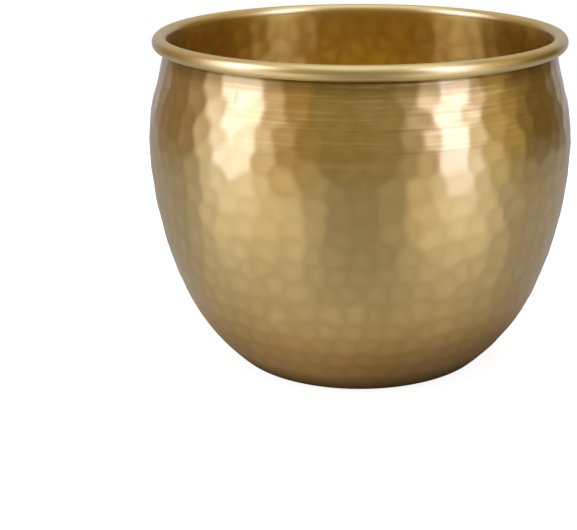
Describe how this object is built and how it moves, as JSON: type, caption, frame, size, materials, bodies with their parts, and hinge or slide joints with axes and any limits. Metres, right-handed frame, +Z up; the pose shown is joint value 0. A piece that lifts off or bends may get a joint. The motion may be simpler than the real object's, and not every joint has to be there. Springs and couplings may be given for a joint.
{
  "type": "planter pot",
  "caption": "Round hammered brass planter bowl with a flat foot, a full belly and a smooth rim rolled over a wire.",
  "frame": {"origin": "centre of the flat foot's underside, on the surface that the pot stands on", "axes": "+Z up along the pot's axis of revolution, +Y to the back, where the ends of the rim wire butt, +X to the right"},
  "size_m": [0.2286, 0.2286, 0.1778],
  "materials": {
    "hammered_brass": "antique satin brass, planished in courses of round hammer marks, with a smooth brushed rim",
    "rim_wire_steel": "plain drawn wire, hidden inside the rolled rim"
  },
  "bodies": {
    "root": {"hammered_bowl": "hammered_brass", "rim_wire": "rim_wire_steel"}
  },
  "joints": []
}
